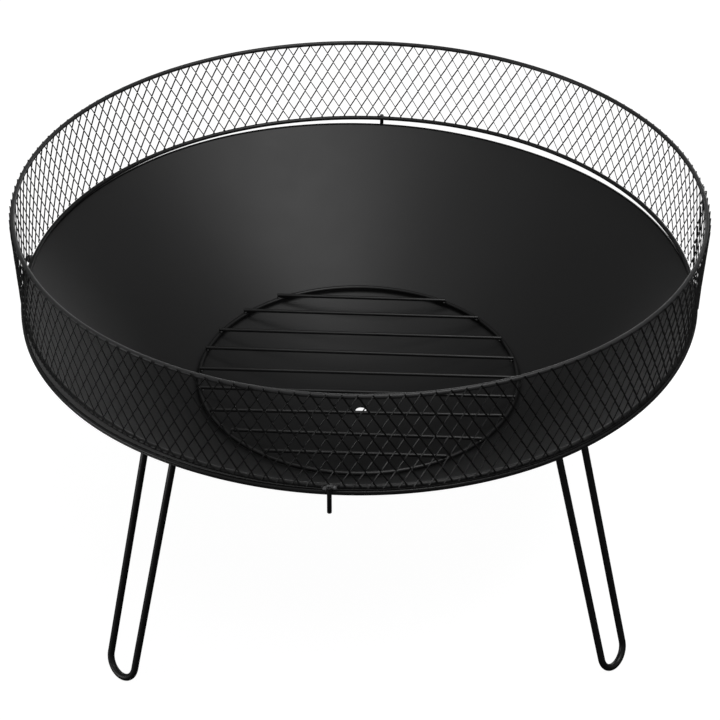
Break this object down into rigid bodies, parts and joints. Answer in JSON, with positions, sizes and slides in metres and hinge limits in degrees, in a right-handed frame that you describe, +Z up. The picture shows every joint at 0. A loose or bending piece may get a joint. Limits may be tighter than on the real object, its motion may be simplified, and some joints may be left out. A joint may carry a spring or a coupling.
{
  "type": "fire pit",
  "caption": "Black steel fire bowl on hairpin legs, with a lift-off expanded-mesh spark guard and a lift-out round wire grate.",
  "frame": {"origin": "on the floor under the bowl's axis", "axes": "+Z up along the bowl's axis, front towards -Y, +X to the right seen from the front"},
  "size_m": [0.5958, 0.5965, 0.3577],
  "materials": {
    "bowl": "matt black heat-resistant paint",
    "legs": "matt black paint on round rod",
    "guard": "matt black paint on wire",
    "mesh": "matt black paint on expanded steel mesh",
    "grate": "satin black paint on wire",
    "fixings": "zinc plated"
  },
  "bodies": {
    "pit": {"bowl": "bowl", "leg_front_left": "legs", "leg_front_right": "legs", "leg_back_right": "legs", "leg_back_left": "legs", "leg_plate_front_left": "legs", "leg_plate_front_right": "legs", "leg_plate_back_right": "legs", "leg_plate_back_left": "legs", "stud_front_left_upper": "fixings", "stud_front_left_lower": "fixings", "stud_front_right_upper": "fixings", "stud_front_right_lower": "fixings", "stud_back_right_upper": "fixings", "stud_back_right_lower": "fixings", "stud_back_left_upper": "fixings", "stud_back_left_lower": "fixings", "washer_front_left_upper": "fixings", "washer_front_left_lower": "fixings", "washer_front_right_upper": "fixings", "washer_front_right_lower": "fixings", "washer_back_right_upper": "fixings", "washer_back_right_lower": "fixings", "washer_back_left_upper": "fixings", "washer_back_left_lower": "fixings", "nut_front_left_upper": "fixings", "nut_front_left_lower": "fixings", "nut_front_right_upper": "fixings", "nut_front_right_lower": "fixings", "nut_back_right_upper": "fixings", "nut_back_right_lower": "fixings", "nut_back_left_upper": "fixings", "nut_back_left_lower": "fixings"},
    "guard": {"guard_bottom_ring": "guard", "guard_top_ring": "guard", "guard_mesh": "mesh", "guard_pin_front": "guard", "guard_pin_right": "guard", "guard_pin_back": "guard", "guard_pin_left": "guard"},
    "grate": {"grate_ring": "grate", "grate_bar_1": "grate", "grate_bar_2": "grate", "grate_bar_3": "grate", "grate_bar_4": "grate", "grate_bar_5": "grate", "grate_bar_6": "grate", "grate_bar_7": "grate", "grate_bar_8": "grate", "grate_bar_9": "grate"}
  },
  "joints": [
    {"name": "guard_lift", "type": "slide", "parent": "pit", "child": "guard", "axis": [0, 0, 1], "range_m": [0, 0.12]},
    {"name": "grate_lift", "type": "slide", "parent": "pit", "child": "grate", "axis": [0, 0, 1], "range_m": [0, 0.25]}
  ]
}
